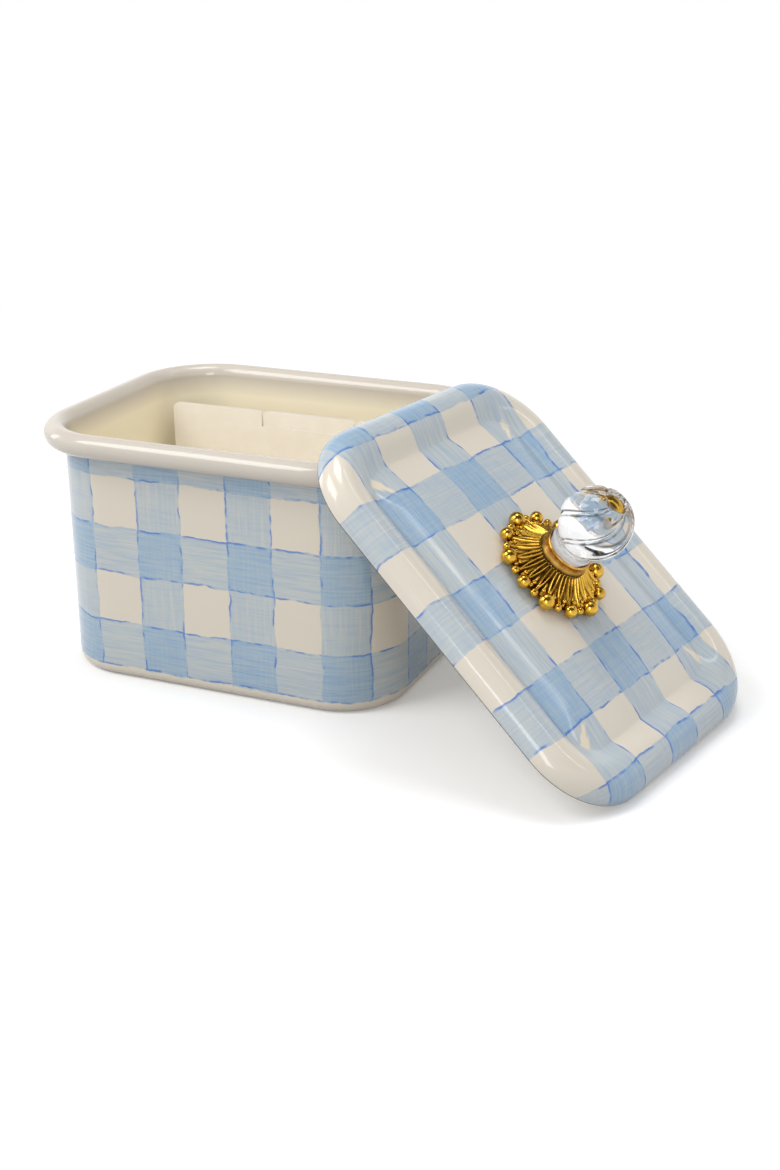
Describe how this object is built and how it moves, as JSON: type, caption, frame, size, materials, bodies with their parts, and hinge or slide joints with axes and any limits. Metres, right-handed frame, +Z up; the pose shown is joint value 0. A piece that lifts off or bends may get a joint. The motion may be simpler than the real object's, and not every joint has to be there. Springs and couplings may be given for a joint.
{
  "type": "recipe card box",
  "caption": "Rounded enamelled steel box with a rolled rim, its loose lid with a glass knob leaning on it, and tabbed dividers and cards inside.",
  "frame": {"origin": "centre of the box's base, on the surface it stands on", "axes": "+X along the long side of the box, towards the side the lid leans on; +Y to the back, where the dividers stand; +Z up"},
  "size_m": [0.3247, 0.2003, 0.1354],
  "materials": {
    "box_enamel": "gloss enamel",
    "lid_enamel": "gloss enamel",
    "gilt_metal": "polished",
    "clear_glass": "clear",
    "steel": "plated",
    "divider_paper": "matt",
    "card_stock": "matt"
  },
  "bodies": {
    "box": {"box_body": "box_enamel"},
    "lid": {"lid_shell": "lid_enamel", "knob_rosette": "gilt_metal", "knob_collar": "gilt_metal", "knob_glass": "clear_glass", "knob_tip": "gilt_metal", "knob_stud": "steel", "knob_washer": "steel", "knob_nut": "steel"},
    "divider_1": {"divider_1": "divider_paper"},
    "divider_2": {"divider_2": "divider_paper"},
    "divider_3": {"divider_3": "divider_paper"},
    "divider_4": {"divider_4": "divider_paper"},
    "divider_5": {"divider_5": "divider_paper"},
    "divider_6": {"divider_6": "divider_paper"},
    "cards": {"recipe_cards": "card_stock"}
  },
  "joints": [
    {"name": "lid_lift", "type": "slide", "parent": "box", "child": "lid", "axis": [0.6546, -0.1391, 0.7431], "range_m": [0, 0.15]},
    {"name": "divider_1_lift", "type": "slide", "parent": "box", "child": "divider_1", "axis": [0, 0, 1], "range_m": [0, 0.125]},
    {"name": "divider_2_lift", "type": "slide", "parent": "box", "child": "divider_2", "axis": [0, 0, 1], "range_m": [0, 0.125]},
    {"name": "divider_3_lift", "type": "slide", "parent": "box", "child": "divider_3", "axis": [0, 0, 1], "range_m": [0, 0.125]},
    {"name": "divider_4_lift", "type": "slide", "parent": "box", "child": "divider_4", "axis": [0, 0, 1], "range_m": [0, 0.125]},
    {"name": "divider_5_lift", "type": "slide", "parent": "box", "child": "divider_5", "axis": [0, 0, 1], "range_m": [0, 0.125]},
    {"name": "divider_6_lift", "type": "slide", "parent": "box", "child": "divider_6", "axis": [0, 0, 1], "range_m": [0, 0.125]},
    {"name": "cards_lift", "type": "slide", "parent": "box", "child": "cards", "axis": [0, 0, 1], "range_m": [0, 0.125]}
  ]
}
